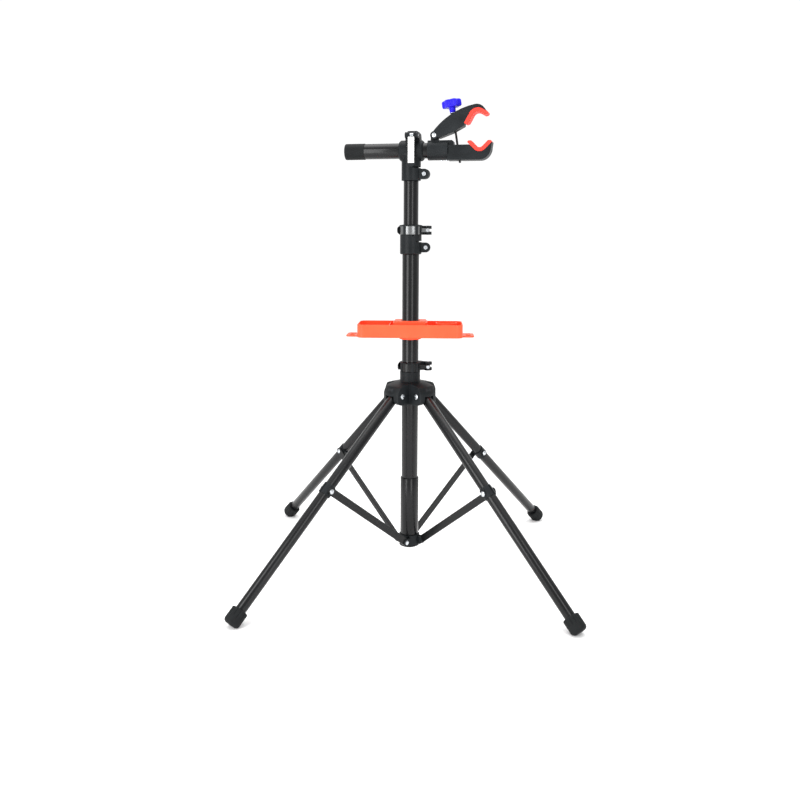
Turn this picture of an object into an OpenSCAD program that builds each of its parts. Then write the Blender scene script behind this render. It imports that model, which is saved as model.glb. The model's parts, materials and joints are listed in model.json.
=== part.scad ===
// Folding work stand: four splayed legs on a sliding hub, two-stage post,
// tool tray and a turning clamp arm. Origin on the floor under the post,
// Z up, X along the tray, clamp end at +X. All lengths in millimetres.

/* [Legs and feet] */
// Distance from the leg hinge to the middle of the foot
leg_len = 629; // [500:1:800]
// Lean of an open leg from the vertical
leg_lean = 47.4; // [40:0.1:50]
// Outside diameter of a leg tube
leg_d = 25; // [20:0.5:30]
// Wall of a leg tube
leg_wall = 1.5; // [1:0.1:3]
// Height of the middle of a foot above the floor
foot_stand = 20.5; // [18:0.5:30]
// Outside diameter of a rubber foot
foot_d = 38; // [32:0.5:46]
// Length of a rubber foot
foot_len = 38; // [30:1:60]

/* [Struts] */
// Distance from the leg hinge to the strut bolt, along the leg
strut_joint = 287; // [240:1:330]
// Radius of the lower strut pins from the post axis
strut_pin_r = 26.2; // [25:0.1:30]
// Height of the lower strut pins above the floor
strut_pin_z = 71.3; // [60:0.1:100]
// Width of a flat strut
strut_w = 18; // [14:0.5:20]
// Thickness of a flat strut
strut_t = 4; // [3:0.5:5]

/* [Post] */
// Outside diameter of the main tube
post_d = 40; // [36:0.5:45]
// Outside diameter of the base sleeve
sleeve_d = 45; // [42:0.5:50]
// Length of the base sleeve
sleeve_len = 147; // [60:1:180]
// Outside diameter of the mast that slides in the main tube
mast_d = 35; // [30:0.5:38]
// Wall of the main tube, the mast and the arm tube
tube_wall = 1.5; // [1:0.1:2.5]
// Length of mast that shows between the upper clamp and the head
mast_show = 102; // [100:1:400]
// Length of mast kept inside the main tube in this position
mast_hidden = 680; // [300:1:700]

/* [Hub] */
// Radius of the leg hinges from the post axis
hinge_r = 48.1; // [44:0.1:56]
// Thickness of each cheek beside a leg
cheek = 12.7; // [8:0.1:16]
// Hub below the leg hinges
hub_drop = 22; // [20:0.5:30]
// Hub above the leg hinges, to the middle of the dome
hub_rise = 32; // [26:0.5:45]
// Height of the neck between the dome and the hub clamp
hub_neck = 22; // [15:0.5:40]

/* [Clamps] */
// Height of a clamp band zone
band_zone = 22; // [18:0.5:28]
// Thickness of a clamp band
band_t = 1.4; // [1:0.1:2]
// Outside diameter of the upper collar
collar_d = 51; // [49:0.5:60]
// Height of the upper collar below its clamp band
collar_h = 45; // [40:1:70]

/* [Tray] */
// Length of the tray without its side tabs
tray_len = 250; // [200:1:320]
// Depth of the tray, front to back
tray_depth = 108; // [100:1:160]
// Height of the tray walls
tray_h = 31; // [20:0.5:60]
// Wall and floor of the tray
tray_wall = 2.4; // [2:0.1:4]
// Corner radius of the tray
tray_corner = 16; // [6:0.5:24]
// How far each side tab reaches out
tab_reach = 28; // [20:1:40]
// Width of each side tab
tab_w = 65; // [58:1:80]
// Gap between the hub clamp and the tray boss
tray_gap = 55; // [20:1:100]

/* [Head and arm] */
// Turn of the head about the post
head_yaw = -10; // [-180:1:180]
// Outside diameter of the arm tube
arm_d = 35; // [30:0.5:38]
// Length of arm from the post axis to its free end
arm_back = 157.5; // [100:0.5:220]
// Length of arm from the post axis to the clamp socket
arm_front = 40; // [36:1:120]
// Height of the head collar below the arm axis
head_drop = 67; // [62:0.5:90]
// Height of the head block above the arm axis
head_rise = 43; // [42:0.5:60]
// Length of the grip on the free end of the arm
grip_len = 48; // [30:1:90]

/* [Jaws] */
// Length of the clamp socket
socket_len = 48; // [40:1:70]
// Length of the lower jaw
jaw_len = 99; // [94:1:110]
// Width of the jaws
jaw_w = 34; // [30:0.5:38]
// Thickness of the jaw pads
pad_t = 9; // [5:0.5:10]
// Diameter of the clamp screw
screw_d = 5.5; // [5:0.5:8]
// Diameter of the knob over its lobes
knob_d = 45; // [36:1:60]
// Number of lobes on the knob
knob_lobes = 6; // [4:1:8]

/* [Fits] */
// Radial running fit of tubes, pins and bores that move
run_fit = 0.08; // [0.02:0.01:0.1]
// Gap between parts that pass each other
gap = 0.3; // [0.2:0.05:1]
// Gap left at each end of the tray's travel when the stand is folded
fold_gap = 2.5; // [1:0.5:20]

/* [Hidden] */
$fn = 64;
eps = 0.01;
big = 400;

// Colours
tube_black = "#17191b";
plastic_black = "#2b2e30";
rubber_black = "#1d1e1f";
zinc = "#d8dadd";
tray_red = "#ff6a49";
pad_red = "#f9503f";
knob_blue = "#3a33d6";
label_white = "#f3f3f0";

// Legs, hub and struts
cheek_face = leg_d / 2 + gap * 2;
cheek_out = cheek_face + cheek;
hinge_z = leg_len * cos(leg_lean) + foot_stand;
hub_low = hinge_z - hub_drop;
hub_top = hinge_z + hub_rise;
hub_end = hinge_r + 16;
dome_r = 200;
shoulder_r = hinge_r + 23.6;
shoulder_drop = 48;
neck_t = 4.6;
leg_pin_r = 4;
leg_tail = 6;
leg_swing = norm([leg_d / 2, leg_tail]) + 2 * gap;
leg_over = leg_d / 2 + 2 * gap;
foot_top = leg_len - foot_len / 2;
foot_low = leg_len + foot_len / 2;
foot_floor = 8;
foot_round = 6;
foot_flutes = 12;
strut_in = leg_d / 2 + 1.5;
strut_out = strut_in + strut_t;
strut_eye = strut_w / 2;
strut_pin_rad = 3.5;
joint_r = hinge_r + strut_joint * sin(leg_lean);
joint_z = hinge_z - strut_joint * cos(leg_lean);
strut_len = norm([joint_r - strut_pin_r, joint_z - strut_pin_z]);
strut_lean = atan2(joint_r - strut_pin_r, joint_z - strut_pin_z);
bolt_rad = 3;
ear_t = 2;

// Fold: how far the hub climbs until the legs hang straight down
fold_reach = sqrt(pow(strut_len, 2) - pow(hinge_r - strut_pin_r, 2));
fold_travel = strut_pin_z + fold_reach + strut_joint - hinge_z;

// Base collar
base_top = strut_pin_z + 14.7;
base_low = strut_pin_z - 21;
base_rad = sleeve_d / 2 + 2.5;
tube_low = base_low + 7.5;
slot_in = strut_pin_r - strut_eye - 2 * gap;

// Clamp bands
hub_band_low = hub_top + hub_neck;
hub_clamp_top = hub_band_low + band_zone + 2;
hub_sleeve_r = post_d / 2 + 2.5;
hub_reach = 19.5;
upper_reach = 13.5;
cam_r = 9.5;
band_gap = 2.5;
band_ear_h = 9;
cam_pin_r = 2.5;
tee_r = 4.6;
tee_half = 2.8;
arm_thick = 8.5;
arm_tip = 11;
arm_span = [24, 186];

// Tray, counted up from the hub clamp
tray_low = hub_clamp_top + tray_gap;
tray_floor = tray_low + 7.5;
tray_rim = tray_floor + tray_h;
tray_top = tray_rim + 6.5;
tray_travel = fold_travel - tray_gap + fold_gap;
bush_r = post_d / 2 + 2.9;
boss_w = 82;
boss_d = 66;
boss_r = bush_r + 3.2;
cup_r = 26;
slot_y = 15;
slot_size = [12, 17, 4];
cup = [tray_len / 2 - tray_wall - cup_r - 10, tray_depth / 2 - tray_wall - cup_r - 5];

// Upper collar and mast
collar_low = tray_top + tray_travel + fold_gap;
collar_top = collar_low + collar_h;
tube_top = collar_top - 5;
up_band_low = collar_top;
up_clamp_top = up_band_low + band_zone + 1;
up_sleeve_r = collar_d / 2 - 1.1;
lug_r = 11.5;
lug_z = collar_low + 16;
lug_x = collar_d / 2 + 9.5;
mast_low = up_clamp_top - mast_hidden;
head_low = up_clamp_top + mast_show - 1;
arm_z = head_low + head_drop;
post_in = post_d / 2 - tube_wall;

// Head
head_r = mast_d / 2 + 5;
cross_r = arm_d / 2 + 6;
cross_back = 27;
cross_front = 30;
block_x = 5.3;
block_w = 31;
block_flare = 1.5;
lever_w = 17.3;
lever_t = 6;
lever_eye = 8;
lever_y = -cross_r - gap - lever_t;
lever_pin_y = lever_y + lever_eye;
lever_pin_z = head_rise - 10.5;
lever_low = -29;
eye_r = 4.8;
eye_half = 4;
label_t = 0.6;
block_front = lever_pin_y + lever_eye + gap;
block_back = 14;
head_lug_r = 11.5;
head_lug_x = head_r + 9.8;
head_lug_z = -head_drop + 14.8;

// Clamp, in the arm's own frame: X out along the arm, Z up
socket_r = arm_d / 2 + 4.5;
socket_out = arm_front + socket_len;
tube_stop = socket_out - 6;
grub_r = 2.5;
grub_x = [32, 43];
jaw_out = socket_out + jaw_len;
jaw_low = -23.2;
jaw_high = 10.5;
jaw_nose = [26, 28];
mount_w = 12;
mount_top = 21.5;
mount_out = arm_front + 59.8;
pivot = [arm_front + 15.5, 32.6];
pivot_r = 3;
jaw_ear = 9;
ear_half = 7;
head_t = 2;
lower_vee = [socket_out + 72.2, -4.8];
lower_round = 18;
lower_arm = 28.5;
lower_lip = jaw_high - lower_vee[1] + vee_drop(lower_round);
upper_vee = [socket_out + 60.9, 89.2];
upper_round = 21;
upper_arm = [32.3, 26.4];
upper_tilt = 16;
back_r = 157.2;
back_c = pivot + [120.7, -89.2];
back_foot = 143.7;
crown = 100.5;
beak_r = 22.4;
beak_foot = 25;
close_turn = 20;
screw_foot = [socket_out + 22.15, -3];
screw_lean = 9.3;
screw_swing = 9.25;
screw_tail = 25.7;
screw_side = screw_d / 2 + 0.8;
trunnion_r = 5.5;
seat_reach = 83;
seat_rad = 9.5;
seat_gap = 2 * gap;
seat_lean = screw_lean + (close_turn - screw_swing) / 2;
seat = screw_foot + seat_reach * [-sin(screw_lean), cos(screw_lean)];
washer_t = 3.2;
washer_r = 7.5;
washer_dome = 14;
knob_reach = seat_reach + washer_t + gap;
knob_h = 17;
knob_stem = 11.2;
stem_d = [13, 16];
lobe = 6.5;

// ---- shared shapes ------------------------------------------------------

module leg_side(k) { rotate([0, 0, 45 + 90 * (k - 1)]) children(); }

// Child's +Z runs down the leg from its hinge, Y stays along the hinge
module along_leg(k) {
    leg_side(k) translate([hinge_r, 0, hinge_z]) rotate([0, 180 - leg_lean, 0]) children();
}

// Child's +Z runs up the strut from its lower pin
module along_strut(k) {
    leg_side(k) translate([strut_pin_r, 0, strut_pin_z]) rotate([0, strut_lean, 0]) children();
}

// Cylinder along Y from y0 to y1
module y_rod(r, y0, y1) { translate([0, y1, 0]) rotate([90, 0, 0]) cylinder(r = r, h = y1 - y0); }

// Cylinder along X from x0 to x1
module x_rod(r, x0, x1) { translate([x0, 0, 0]) rotate([0, 90, 0]) cylinder(r = r, h = x1 - x0); }

// Outline in X and Z pushed out along Y
module slab(y0, y1) { translate([0, y1, 0]) rotate([90, 0, 0]) linear_extrude(y1 - y0) children(); }

module tube(r, wall, low, high) {
    translate([0, 0, low]) difference() {
        cylinder(r = r, h = high - low);
        translate([0, 0, -1]) cylinder(r = r - wall, h = high - low + 2);
    }
}

module ring(r0, r1, low, high) {
    translate([0, 0, low]) difference() {
        cylinder(r = r1, h = high - low);
        translate([0, 0, -1]) cylinder(r = r0, h = high - low + 2);
    }
}

// Rectangle with round corners, centred
module round_rect(w, d, r) {
    square([w - 2 * r, d], center = true);
    square([w, d - 2 * r], center = true);
    for (x = [-1, 1], y = [-1, 1]) translate([x * (w / 2 - r), y * (d / 2 - r)]) circle(r);
}

// Sector of the plane between two angles, big enough to cut any clamp part
module sector(a0, a1) {
    steps = 8;
    polygon(concat([[0, 0]],
        [for (i = [0:steps]) big * [cos(a0 + (a1 - a0) * i / steps), sin(a0 + (a1 - a0) * i / steps)]]));
}

// Low domed fastener head that starts at y and points along +Y
module dome_head(r, y, h) {
    rim = 0.4 * h;
    dome = h - rim;
    dome_r = (r * r + dome * dome) / (2 * dome);
    translate([0, y, 0]) rotate([-90, 0, 0]) intersection() {
        cylinder(r = r, h = h);
        translate([0, 0, h - dome_r]) sphere(dome_r);
    }
}

// ---- quick-release clamps ----------------------------------------------

// Split plastic sleeve with a lip on top and ribs that hold the band
module clamp_sleeve(bore, r, low, ribs) {
    band_out = r + 0.1 + band_t;
    lip = band_out + 1.2;
    difference() {
        union() {
            ring(bore, r, low - eps, low + band_zone);
            ring(bore, lip, low + band_zone - 1.5, low + band_zone + 0.5);
            translate([0, 0, low + band_zone + 0.5]) difference() {
                cylinder(r1 = lip, r2 = bore + 1, h = 1.5);
                translate([0, 0, -1]) cylinder(r = bore, h = 4);
            }
            for (a = ribs) intersection() {
                ring(band_out + 0.1, lip, low - eps, low + band_zone);
                rotate([0, 0, a]) translate([0, -3.5, low - 1]) cube([big, 7, band_zone + 2]);
            }
        }
        translate([0, -band_gap, low - 10]) cube([big, 2 * band_gap, band_zone + 20]);
        for (a = [110, 250]) rotate([0, 0, a])
            translate([0, -1.2, low - 3]) cube([big, 2.4, band_zone + 10]);
    }
}

// Steel band with two ears for the bolt
module clamp_band(r, low, reach) {
    inner = r + 0.1;
    outer = inner + band_t;
    mid = low + band_zone / 2;
    cam_x = outer + reach;
    difference() {
        union() {
            ring(inner, outer, low + 1, low + band_zone - 2);
            for (s = [-1, 1]) translate([inner, s > 0 ? band_gap : -band_gap - 2, mid - band_ear_h / 2])
                cube([cam_x + 4.5 - inner, 2, band_ear_h]);
        }
        translate([0, -band_gap, low]) cube([big, 2 * band_gap, band_zone]);
        translate([cam_x, 0, mid]) y_rod(cam_pin_r + 0.1, -20, 20);
        translate([0, 0, low - 1]) cylinder(r = inner, h = band_zone + 2);
    }
}

function cam_at(r, reach) = [r + 0.1 + band_t + reach, band_gap + 2 + gap + cam_r];

// T-shaped bolt: upright pin for the lever, shank through the ears, round nut in front
module clamp_tee(r, low, reach) {
    cam = cam_at(r, reach);
    mid = low + band_zone / 2;
    color(zinc) {
        translate([cam[0], cam[1], low]) cylinder(r = cam_pin_r, h = band_zone);
        translate([cam[0], cam[1], mid - tee_half]) cylinder(r = tee_r, h = 2 * tee_half);
        translate([cam[0], 0, mid]) y_rod(cam_pin_r, -band_gap - 6, cam[1]);
        translate([cam[0], 0, mid]) y_rod(4, -band_gap - 6, -band_gap - 2);
    }
}

// Cam lever that lies round the back of its clamp
module clamp_arm(r, low, reach) {
    cam = cam_at(r, reach);
    mid = low + band_zone / 2;
    inner = r + 0.1 + band_t + 1.2 + 2;
    fork = tee_half + gap;
    tip_x = arm_tip - 4 - inner;
    color(plastic_black) difference() {
        intersection() {
            translate([0, 0, low + 0.5]) linear_extrude(band_zone - 1) {
                translate(cam) circle(cam_r);
                translate([cam[0] - 12, cam[1]]) square([12, cam_r]);
                difference() {
                    intersection() {
                        translate([5, 2.5]) circle(inner + arm_thick);
                        sector(arm_span[0], arm_span[1]);
                    }
                    circle(inner);
                }
            }
            union() {
                translate([tip_x, -big, low]) cube([big, 2 * big, band_zone]);
                translate([tip_x, 0, mid]) y_rod(arm_tip, -big, big);
            }
        }
        translate([cam[0], cam[1], low - 1]) cylinder(r = cam_pin_r + run_fit, h = band_zone + 2);
        translate([cam[0], cam[1], mid - fork]) cylinder(r = tee_r + 2 * gap, h = 2 * fork);
        translate([cam[0] - cam_pin_r - 2 * gap, cam[1] - 20, mid - fork]) cube([40, 40, 2 * fork]);
    }
}

// ---- base ---------------------------------------------------------------

// Cast collar that closes the foot of the post and carries the strut pins
module strut_collar() {
    color(plastic_black) difference() {
        union() {
            translate([0, 0, base_low + 7]) cylinder(r = base_rad, h = base_top - base_low - 7);
            intersection() {
                translate([0, 0, base_low]) cylinder(r = base_rad, h = 7 + eps);
                translate([0, 0, base_low + 48]) sphere(48);
            }
            for (k = [1:4]) leg_side(k) {
                slab(7, strut_out + gap + ear_t) {
                    translate([strut_pin_r, strut_pin_z]) circle(strut_eye + 0.6);
                    translate([8, strut_pin_z - strut_eye - 0.6])
                        square([strut_pin_r - 8, 2 * strut_eye + 1.2]);
                }
            }
        }
        translate([0, 0, tube_low]) cylinder(r = post_d / 2, h = big);
        for (k = [1:4]) leg_side(k) {
            slab(strut_in - gap, strut_out + gap) {
                translate([slot_in, strut_pin_z - strut_eye - gap]) square([60, 60]);
                translate([strut_pin_r, strut_pin_z]) circle(strut_eye + gap);
            }
            translate([strut_pin_r, 0, strut_pin_z]) y_rod(strut_pin_rad, 8, 60);
        }
    }
}

// Lower strut pins, one for each strut
module strut_pins() {
    color(zinc) for (k = [1:4]) leg_side(k) translate([strut_pin_r, 0, strut_pin_z]) {
        y_rod(strut_pin_rad, 8, strut_out + gap + ear_t);
        dome_head(5.6, strut_out + gap + ear_t, 2);
    }
}

// Outer sleeve round the foot of the post
module base_sleeve() {
    color(tube_black)
        tube(sleeve_d / 2, (sleeve_d - post_d) / 2, base_top, base_top + sleeve_len);
}

// Main tube, from the base collar to the upper collar
module main_tube() {
    color(tube_black) tube(post_d / 2, tube_wall, tube_low, tube_top);
}

// ---- upper collar -------------------------------------------------------

// Pinch collar on top of the main tube, with the sleeve of the upper clamp
module upper_collar() {
    color(plastic_black) {
        difference() {
            union() {
                translate([0, 0, collar_low + 2]) cylinder(d = collar_d, h = collar_h - 2);
                translate([0, 0, collar_low])
                    cylinder(r1 = collar_d / 2 - 2, r2 = collar_d / 2, h = 2 + eps);
                slab(-9, 9) {
                    translate([lug_x, lug_z]) circle(lug_r);
                    translate([0, lug_z - lug_r]) square([lug_x, 2 * lug_r]);
                }
            }
            translate([0, 0, collar_low - 1]) cylinder(d = post_d, h = tube_top - collar_low + 1);
            translate([0, 0, collar_low]) cylinder(r = mast_d / 2 + run_fit, h = big);
            translate([14, -1.25, collar_low - 1]) cube([big, 2.5, lug_z + lug_r + 4 - collar_low]);
            translate([12, -big / 2, lug_z + lug_r + 1]) cube([big, big, 2.5]);
            translate([lug_x, 0, lug_z]) y_rod(bolt_rad, -20, 20);
            rotate([0, 0, -77]) translate([0, -1.2, collar_top - 3]) cube([big, 2.4, 10]);
            translate([0, -band_gap, collar_top - 8]) cube([big, 2 * band_gap, 20]);
        }
        clamp_sleeve(mast_d / 2 + run_fit, up_sleeve_r, up_band_low, [-123, -57, 57, 123, 180, -25]);
    }
}

// Pinch bolt of the upper collar
module upper_collar_bolt() {
    color(zinc) translate([lug_x, 0, lug_z]) {
        y_rod(bolt_rad, -9, 9);
        y_rod(4.6, -12, -9);
        y_rod(4.6, 9, 12);
    }
}

module upper_clamp_band() { color(zinc) clamp_band(up_sleeve_r, up_band_low, upper_reach); }

module upper_clamp_bolt() { clamp_tee(up_sleeve_r, up_band_low, upper_reach); }

module upper_clamp_lever() { clamp_arm(up_sleeve_r, up_band_low, upper_reach); }

// ---- hub ----------------------------------------------------------------

// Sliding hub with a pair of cheeks for each leg and the hub clamp's sleeve
module hub() {
    color(plastic_black) {
        difference() {
            union() {
                for (a = [45, 135]) intersection() {
                    rotate([0, 0, a]) slab(-cheek_out, cheek_out) {
                        translate([-hinge_r, hub_low]) square([2 * hinge_r, hub_top - hub_low]);
                        translate([-hub_end, hinge_z]) square([2 * hub_end, hub_top - hinge_z]);
                        for (s = [-1, 1]) translate([s * hinge_r, hinge_z]) circle(hub_drop);
                    }
                    translate([0, 0, hub_top - dome_r]) sphere(dome_r, $fn = 128);
                    translate([0, 0, hub_top - shoulder_drop]) sphere(shoulder_r, $fn = 128);
                    translate([0, 0, hub_low - 20]) cylinder(r = hub_end + 4, h = 120);
                }
                translate([0, 0, hub_top - 14]) cylinder(r = post_d / 2 + neck_t, h = hub_neck + 14);
            }
            for (k = [1:4]) leg_side(k) {
                slab(-cheek_face, cheek_face) translate([hinge_r, hinge_z]) {
                    circle(leg_swing);
                    polygon([[-leg_swing, 0], leg_over * [cos(leg_lean), sin(leg_lean)],
                        leg_over * [cos(leg_lean), sin(leg_lean)] + big * [sin(leg_lean), -cos(leg_lean)],
                        [-leg_swing, -big]]);
                }
                translate([hinge_r, 0, hinge_z]) y_rod(leg_pin_r, -60, 60);
            }
            translate([0, 0, hub_low - 1]) cylinder(r = post_d / 2 + run_fit, h = big);
            translate([0, -band_gap, hub_band_low - 8]) cube([big, 2 * band_gap, 30]);
        }
        clamp_sleeve(post_d / 2 + run_fit, hub_sleeve_r, hub_band_low, [-75, -45, -20, -150, 150, 75]);
    }
}

// Riveted pins that the legs turn on
module leg_pins() {
    color(zinc) for (k = [1:4]) leg_side(k) translate([hinge_r, 0, hinge_z]) {
        y_rod(leg_pin_r, -cheek_out, cheek_out);
        dome_head(6.3, cheek_out, 2.2);
        mirror([0, 1, 0]) dome_head(6.3, cheek_out, 2.2);
    }
}

module hub_clamp_band() { color(tube_black) clamp_band(hub_sleeve_r, hub_band_low, hub_reach); }

module hub_clamp_bolt() { clamp_tee(hub_sleeve_r, hub_band_low, hub_reach); }

module hub_clamp_lever() { clamp_arm(hub_sleeve_r, hub_band_low, hub_reach); }

// ---- legs ---------------------------------------------------------------

module leg(k) {
    color(tube_black) along_leg(k) difference() {
        tube(leg_d / 2, leg_wall, -leg_tail, foot_low - foot_floor);
        y_rod(leg_pin_r + run_fit, -big, big);
        translate([0, 0, strut_joint]) y_rod(bolt_rad, -big, big);
    }
}

// Fluted rubber cap, worn flat where it meets the floor
module foot(k) {
    body_low = foot_low - foot_round;
    color(rubber_black) difference() {
        along_leg(k) rotate_extrude() difference() {
            union() {
                translate([0, foot_top]) polygon([[0, 0], [foot_d / 2 - 3, 0], [foot_d / 2, 4], [0, 4]]);
                translate([0, foot_top + 4 - eps]) square([foot_d / 2, body_low - foot_top - 4 + eps]);
                translate([0, body_low - eps]) square([foot_d / 2 - foot_round, foot_round + eps]);
                translate([foot_d / 2 - foot_round, body_low]) circle(foot_round);
            }
            translate([0, foot_top - 1]) square([leg_d / 2, foot_low - foot_floor - foot_top + 1]);
        }
        along_leg(k) for (i = [0:foot_flutes - 1]) rotate(360 * (i + 0.5) / foot_flutes)
            translate([foot_d / 2 + 1.4, 0, foot_top - 1]) cylinder(r = 2.4, h = foot_len * 0.55);
        translate([-2 * big, -2 * big, -big]) cube([4 * big, 4 * big, big]);
    }
}

// Saddle clipped round the leg where the strut is bolted on
module strut_bracket(k) {
    r = leg_d / 2;
    color(plastic_black) along_leg(k) translate([0, 0, strut_joint]) difference() {
        union() {
            intersection() {
                translate([0, 0, -13]) cylinder(r = r + 2.4, h = 26);
                translate([-big, -big, -big]) cube([2 * big, big + strut_in - gap, 2 * big]);
            }
            y_rod(7.5, -r - 4, 0);
            y_rod(7.5, 0, strut_in - gap);
        }
        translate([0, 0, -20]) cylinder(r = r, h = 40);
        y_rod(bolt_rad, -big, big);
        translate([-big, -1.5, -20]) cube([big - r + 2, 3, 40]);
    }
}

// Bolt through the saddle and the leg; its end stands just clear of the strut
module bracket_bolt(k) {
    color(zinc) along_leg(k) translate([0, 0, strut_joint]) {
        y_rod(bolt_rad, -leg_d / 2 - 4, strut_in - gap);
        mirror([0, 1, 0]) dome_head(6, leg_d / 2 + 4, 4);
    }
}

// Flat pressed strut with a bead down its outer face
module strut(k) {
    color(tube_black) along_strut(k) difference() {
        union() {
            slab(strut_in, strut_out) {
                circle(strut_eye);
                translate([0, strut_len]) circle(strut_eye);
                translate([-strut_eye, 0]) square([strut_w, strut_len]);
            }
            slab(strut_out - eps, strut_out + 1.2) {
                for (z = [28, strut_len - 28]) translate([0, z]) circle(3);
                translate([-3, 28]) square([6, strut_len - 56]);
            }
        }
        y_rod(strut_pin_rad + run_fit, 0, 60);
        translate([0, 0, strut_len]) y_rod(bolt_rad, 0, 60);
    }
}

// Rivet in the strut's upper eye
module strut_rivet(k) {
    color(zinc) along_strut(k) translate([0, 0, strut_len]) {
        y_rod(bolt_rad, strut_in, strut_out);
        dome_head(5.6, strut_out, 2.2);
    }
}

// ---- tray ---------------------------------------------------------------

// Split bush that grips the main tube inside the tray's boss
module tray_bush() {
    color(plastic_black) difference() {
        union() {
            ring(post_d / 2 + run_fit, bush_r, tray_low + 0.5, tray_top - 1.5);
            ring(post_d / 2 + run_fit, bush_r + 1.6, tray_low + 0.5, tray_low + 4);
        }
        translate([0, -1.2, tray_low - 1]) cube([big, 2.4, big]);
    }
}

module tab_outline() {
    translate([tray_len / 2 + tab_reach / 2 - 8, 0]) round_rect(tab_reach + 16, tab_w, 10);
}

// Tool tray with a raised boss, a divider, a round cup and slotted side tabs
module tray() {
    wall_in = tray_corner - tray_wall;
    floor_top = tray_floor + tray_wall;
    color(tray_red) difference() {
        union() {
            translate([0, 0, tray_floor]) difference() {
                linear_extrude(tray_h) round_rect(tray_len, tray_depth, tray_corner);
                translate([0, 0, tray_wall]) linear_extrude(tray_h)
                    round_rect(tray_len - 2 * tray_wall, tray_depth - 2 * tray_wall, wall_in);
            }
            translate([0, 0, tray_floor]) linear_extrude(tray_wall + 1) for (s = [0, 180])
                rotate(s) difference() {
                    tab_outline();
                    for (y = [-slot_y, slot_y]) translate([tray_len / 2 + tab_reach / 2, y])
                        round_rect(slot_size[0], slot_size[1], slot_size[2]);
                    translate([0, -big / 2]) square([tray_len / 2 - 1, big]);
                }
            translate([0, 0, tray_floor]) linear_extrude(tray_top - tray_floor - 3)
                round_rect(boss_w, boss_d, 10);
            translate([0, 0, tray_top - 3 - eps]) linear_extrude(3) round_rect(boss_w - 6, boss_d - 6, 9);
            translate([0, 0, tray_low]) cylinder(r = boss_r, h = 10);
            translate([-boss_w / 2 - 8 - tray_wall, 1 - tray_depth / 2, floor_top - 1])
                cube([tray_wall, tray_depth - 2, tray_h - 5]);
            translate([cup[0], cup[1], floor_top - 1]) cylinder(r = cup_r, h = tray_h - tray_wall);
        }
        translate([0, 0, tray_low - 1]) cylinder(r = bush_r + 0.1, h = big);
        translate([0, 0, tray_low - 1]) cylinder(r = bush_r + 1.6 + gap, h = 5 + gap);
        translate([cup[0], cup[1], floor_top]) cylinder(r = cup_r - tray_wall, h = big);
    }
}

// ---- mast ---------------------------------------------------------------

module mast() {
    color(tube_black) tube(mast_d / 2, tube_wall, mast_low, arm_z - cross_r - 1);
}

// Guide bush on the lower end of the mast
module mast_bush() {
    color(plastic_black) ring(mast_d / 2, post_in - run_fit, mast_low, mast_low + 30);
}

// ---- head ---------------------------------------------------------------

// Child is drawn in the arm's frame: arm axis along X at height zero
module arm_frame() { translate([0, 0, arm_z]) rotate([0, 0, head_yaw]) children(); }

// Cast tee: upright collar, cross sleeve for the arm, and a split block on top
module head() {
    ear = (block_w - lever_w) / 2 - gap;
    color(plastic_black) arm_frame() difference() {
        union() {
            translate([0, 0, -head_drop]) cylinder(r = head_r, h = head_drop);
            rotate([0, 90, 0]) rotate_extrude() polygon([[0, -cross_back], [cross_r - 3, -cross_back],
                [cross_r, 4 - cross_back], [cross_r, cross_front - 4], [cross_r - 3, cross_front],
                [0, cross_front]]);
            slab(block_front, block_back) translate([block_x, 0])
                polygon([[-block_w / 2 - block_flare, 0], [block_w / 2 + block_flare, 0],
                    [block_w / 2 + block_flare, head_rise / 2], [block_w / 2, head_rise - 5],
                    [block_w / 2 - 5, head_rise], [5 - block_w / 2, head_rise],
                    [-block_w / 2, head_rise - 5], [-block_w / 2 - block_flare, head_rise / 2]]);
            for (x = [-block_w / 2, block_w / 2 - ear]) translate([block_x + x, 0, 0])
                rotate([90, 0, 90]) linear_extrude(ear) {
                    translate([lever_pin_y, lever_pin_z]) circle(7);
                    translate([lever_pin_y, lever_pin_z - 7]) square([block_front - lever_pin_y + 3, 14]);
                }
            slab(-9, 9) {
                translate([head_lug_x, head_lug_z]) circle(head_lug_r);
                translate([5, head_lug_z - head_lug_r]) square([head_lug_x - 5, 2 * head_lug_r]);
            }
        }
        x_rod(arm_d / 2 + run_fit, -big, big);
        translate([0, 0, -big]) cylinder(r = mast_d / 2, h = big - cross_r - 1);
        translate([-2 * block_w, -1.25, 1]) cube([4 * block_w, 2.5, big]);
        translate([12, -1.25, -head_drop - 1]) cube([big, 2.5, head_lug_r * 2 + 6]);
        translate([7, -big / 2, head_lug_z + head_lug_r + 2]) cube([big, big, 2.5]);
        translate([head_lug_x, 0, head_lug_z]) y_rod(bolt_rad, -20, 20);
        translate([block_x, 0, lever_pin_z]) y_rod(cam_pin_r, -60, 60);
        translate([block_x, lever_pin_y, lever_pin_z]) x_rod(cam_pin_r, -40, 40);
    }
}

// Pinch bolt that holds the head on the mast
module head_bolt() {
    color(zinc) arm_frame() translate([head_lug_x, 0, head_lug_z]) {
        y_rod(bolt_rad, -9, 9);
        y_rod(4.6, -12, -9);
        y_rod(4.6, 9, 12);
    }
}

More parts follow.
